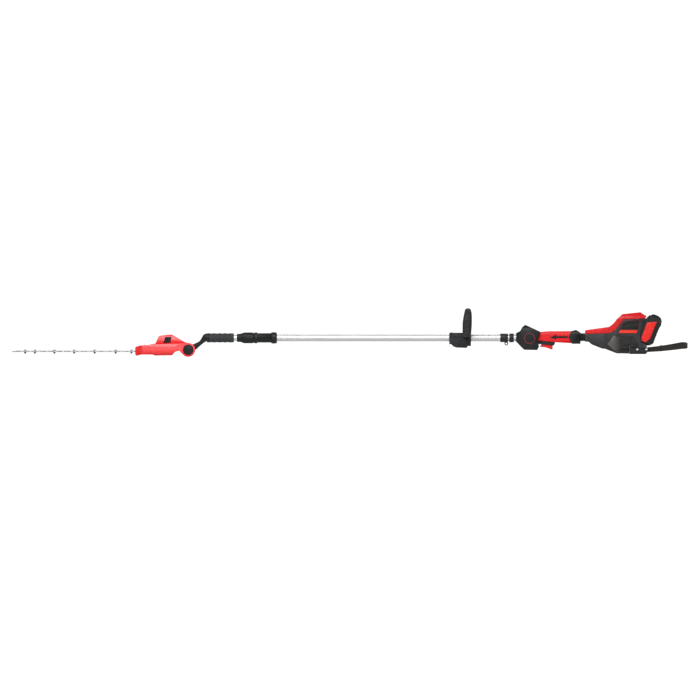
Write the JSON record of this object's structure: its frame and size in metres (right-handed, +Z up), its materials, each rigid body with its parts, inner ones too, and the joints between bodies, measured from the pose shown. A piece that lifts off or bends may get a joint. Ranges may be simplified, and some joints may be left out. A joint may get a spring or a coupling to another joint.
{
  "type": "pole hedge trimmer",
  "caption": "Cordless hedge trimmer on a telescopic pole: tilting double-sided cutter head, loop handle, trigger grip, slide-on battery and webbing hand strap.",
  "frame": {"origin": "on the pole's axis, in the middle of the bare outer tube between the twist lock and the loop handle, where the pole is held or clamped", "axes": "+X along the pole towards the rear grip and battery, +Z up (the loop handle's side), -Y the side with the release button"},
  "size_m": [2.7031, 0.138, 0.195],
  "materials": {
    "tube": "satin drawn tube",
    "inner_tube": "satin drawn tube",
    "hard_black": "fine moulded grain",
    "soft_grey": "soft ribbed sleeve",
    "lead_black": "satin cable sheath",
    "head_red": "semi-gloss moulding",
    "label_black": "smooth inlay",
    "button_black": "fine moulded grain",
    "cast_metal": "cast light metal, machined faces",
    "motor_steel": "satin can",
    "gear_steel": "oiled",
    "blade_steel": "ground, lightly oiled",
    "bolt_red": "dark red coating",
    "bolt_steel": "zinc plated",
    "loop_rubber": "matt soft grip",
    "grip_red": "satin moulding",
    "badge_red": "semi-gloss moulding",
    "ring_red": "dark red inlay",
    "switch_grey": "moulded",
    "neck_rubber": "matt bellows",
    "casing_grey": "fine moulded grain",
    "cover_red": "semi-gloss moulding",
    "stripe_orange": "smooth inlay",
    "board_green": "coated board",
    "contact_brass": "plated",
    "battery_black": "fine moulded grain",
    "cell_blue": "wrapped cells",
    "label_red": "printed film without print",
    "webbing": "woven webbing",
    "keeper_black": "moulded"
  },
  "bodies": {
    "pole": {"outer_tube": "tube", "twist_base": "hard_black", "collet": "hard_black", "harness_collar": "hard_black", "harness_ring": "hard_black", "control_near": "hard_black", "control_far": "hard_black", "trigger_surround": "hard_black", "rear_collar": "hard_black", "foot": "hard_black", "power_lead": "lead_black", "grip_inlays": "label_black", "side_panels": "label_black", "harness_screws": "bolt_steel", "trigger_pin": "bolt_steel", "foot_bolts": "bolt_steel", "grip_near": "grip_red", "grip_far": "grip_red", "badge_rings": "ring_red", "switch": "switch_grey", "neck_bellows": "neck_rubber", "housing_near": "casing_grey", "housing_far": "casing_grey", "vent_grilles": "casing_grey", "top_cover": "cover_red", "side_stripes": "stripe_orange", "controller": "board_green", "terminal_block": "contact_brass", "strap": "webbing", "strap_keeper": "keeper_black"},
    "slider": {"inner_tube": "inner_tube", "arm": "hard_black", "arm_sleeve": "soft_grey"},
    "lock_collar": {"twist_collar": "hard_black"},
    "head": {"head_near": "head_red", "head_far": "head_red", "head_labels": "label_black", "hub_pin": "button_black", "gear_tray": "cast_metal", "gear_lid": "cast_metal", "motor": "motor_steel", "guide_bar": "blade_steel", "blade_bolts": "bolt_red", "blade_nuts": "bolt_steel"},
    "crank": {"crank_gear": "gear_steel"},
    "pinion": {"motor_pinion": "gear_steel"},
    "blade_up": {"upper_blade": "blade_steel"},
    "blade_low": {"lower_blade": "blade_steel"},
    "button": {"release_button": "button_black"},
    "front_handle": {"handle_loop": "loop_rubber", "handle_clamp": "hard_black", "handle_bolts": "bolt_steel"},
    "trigger_body": {"trigger": "badge_red"},
    "lock_button": {"lock_off": "badge_red"},
    "battery": {"battery_case": "battery_black", "battery_base": "battery_black", "battery_cells": "cell_blue", "battery_labels": "label_red"},
    "latch": {"battery_latch": "button_black"}
  },
  "joints": [
    {"name": "pole_length", "type": "slide", "parent": "pole", "child": "slider", "axis": [-1, 0, 0], "range_m": [0, 0.42], "deforming": ["power_lead"]},
    {"name": "lock_turn", "type": "hinge", "parent": "pole", "child": "lock_collar", "pos_m": [-0.4633, 0, 0], "axis": [1, 0, 0], "range_deg": [0, 90]},
    {"name": "head_tilt", "type": "hinge", "parent": "slider", "child": "head", "pos_m": [-0.6993, 0, -0.048], "axis": [0, 1, 0], "range_deg": [-90, 90]},
    {"name": "button_push", "type": "slide", "parent": "head", "child": "button", "axis": [0, 1, 0], "range_m": [0, 0.003], "stiffness_N_per_m": 900, "springref_m": -0.002},
    {"name": "crank_turn", "type": "hinge", "parent": "head", "child": "crank", "pos_m": [-0.8353, 0, -0.048], "axis": [0, 0, 1], "range_deg": [-45, 45]},
    {"name": "motor_turn", "type": "hinge", "parent": "head", "child": "pinion", "pos_m": [-0.7913, 0, -0.034], "axis": [0, 0, 1], "range_deg": [-185, 185]},
    {"name": "upper_stroke", "type": "slide", "parent": "head", "child": "blade_up", "axis": [1, 0, 0], "range_m": [-0.0058, 0.0058]},
    {"name": "lower_stroke", "type": "slide", "parent": "head", "child": "blade_low", "axis": [1, 0, 0], "range_m": [-0.0058, 0.0058]},
    {"name": "handle_slide", "type": "slide", "parent": "pole", "child": "front_handle", "axis": [1, 0, 0], "range_m": [-0.15, 0.09]},
    {"name": "trigger_pull", "type": "hinge", "parent": "pole", "child": "trigger_body", "pos_m": [0.7125, 0, -0.028], "axis": [0, -1, 0], "range_deg": [0, 8], "stiffness_Nm_per_rad": 1, "springref_deg": -5.73},
    {"name": "lock_off_push", "type": "slide", "parent": "pole", "child": "lock_button", "axis": [0, -1, 0], "range_m": [0, 0.003], "stiffness_N_per_m": 500, "springref_m": -0.002},
    {"name": "battery_slide", "type": "slide", "parent": "pole", "child": "battery", "axis": [0.3665, 0, 0.9304], "range_m": [0, 0.12]},
    {"name": "latch_push", "type": "slide", "parent": "battery", "child": "latch", "axis": [-0.9304, 0, 0.3665], "range_m": [0, 0.003], "stiffness_N_per_m": 500, "springref_m": -0.002}
  ],
  "couplings": [
    {"joint": "motor_turn", "follows": "crank_turn", "ratio": -4},
    {"joint": "upper_stroke", "follows": "crank_turn", "m_per_rad": -0.0072},
    {"joint": "lower_stroke", "follows": "crank_turn", "m_per_rad": 0.0072}
  ]
}
